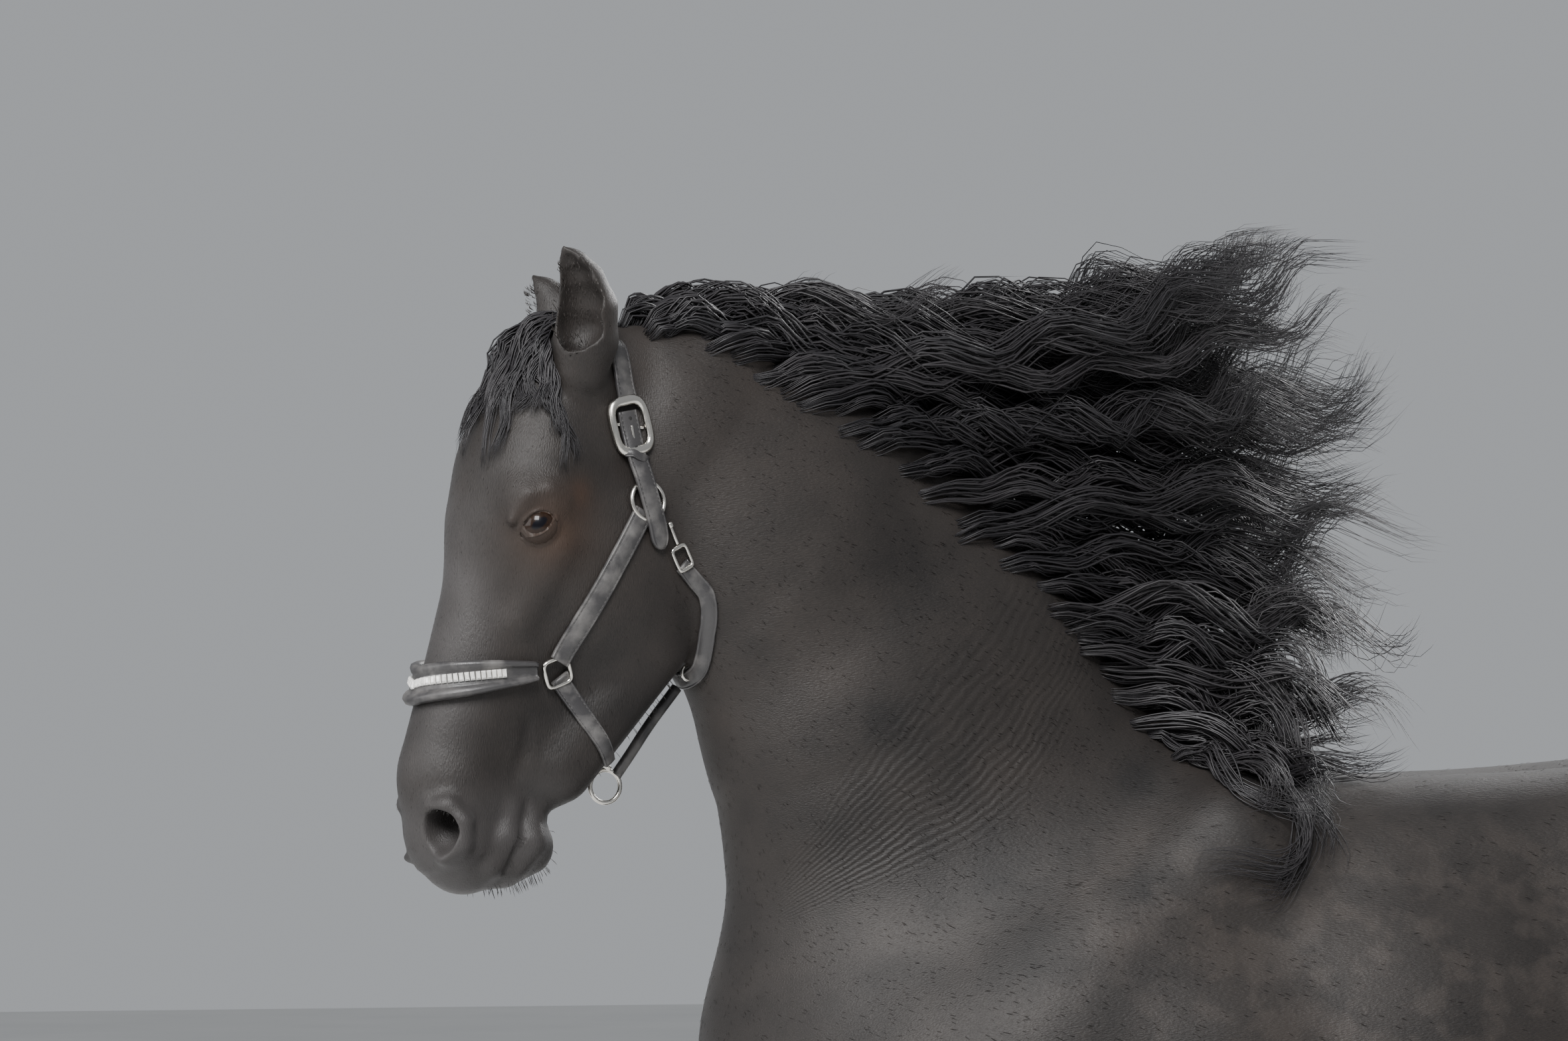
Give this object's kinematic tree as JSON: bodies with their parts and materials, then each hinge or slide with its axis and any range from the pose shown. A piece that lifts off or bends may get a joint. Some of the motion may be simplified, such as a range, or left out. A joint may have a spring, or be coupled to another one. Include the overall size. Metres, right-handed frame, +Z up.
{
  "type": "friesian horse",
  "caption": "Life-size still model of a black Friesian horse standing square, neck arched, mane and tail blown back, wearing a leather halter.",
  "frame": {"origin": "middle of the box that holds the horse, at floor level under the hooves", "axes": "-X is the way the horse faces, -Y its left side, +Z up"},
  "size_m": [2.4106, 0.6418, 2.2106],
  "materials": {
    "coat": "short glossy black hair with a brown cast and a soft sheen",
    "hair": "long wavy black hair",
    "eye": "wet dark brown eye",
    "hoof": "dark hoof horn",
    "leather": "black leather, lightly worn",
    "nickel": "bright nickel",
    "beads": "pale glassy beads"
  },
  "bodies": {
    "root": {"ear_left": "coat", "ear_right": "coat", "eye_left": "eye", "eye_right": "eye", "foreleg_lower_left": "coat", "foreleg_lower_right": "coat", "foreleg_upper_left": "coat", "foreleg_upper_right": "coat", "halter_beads": "beads", "halter_billet_left": "leather", "halter_billet_right": "leather", "halter_buckle": "nickel", "halter_cheek_left": "leather", "halter_cheek_right": "leather", "halter_chin_left": "leather", "halter_chin_right": "leather", "halter_chin_ring": "leather", "halter_crown": "leather", "halter_jaw": "leather", "halter_nose": "leather", "halter_ring_left": "nickel", "halter_ring_right": "nickel", "halter_snap": "nickel", "halter_square_left": "nickel", "halter_square_right": "nickel", "halter_throat": "leather", "head": "coat", "hindleg_lower_left": "coat", "hindleg_lower_right": "coat", "hindleg_upper_left": "coat", "hindleg_upper_right": "coat", "hoof_foreleg_left": "hoof", "hoof_foreleg_right": "hoof", "hoof_hindleg_left": "hoof", "hoof_hindleg_right": "hoof", "neck": "coat", "tail": "hair", "torso": "coat"}
  },
  "joints": []
}
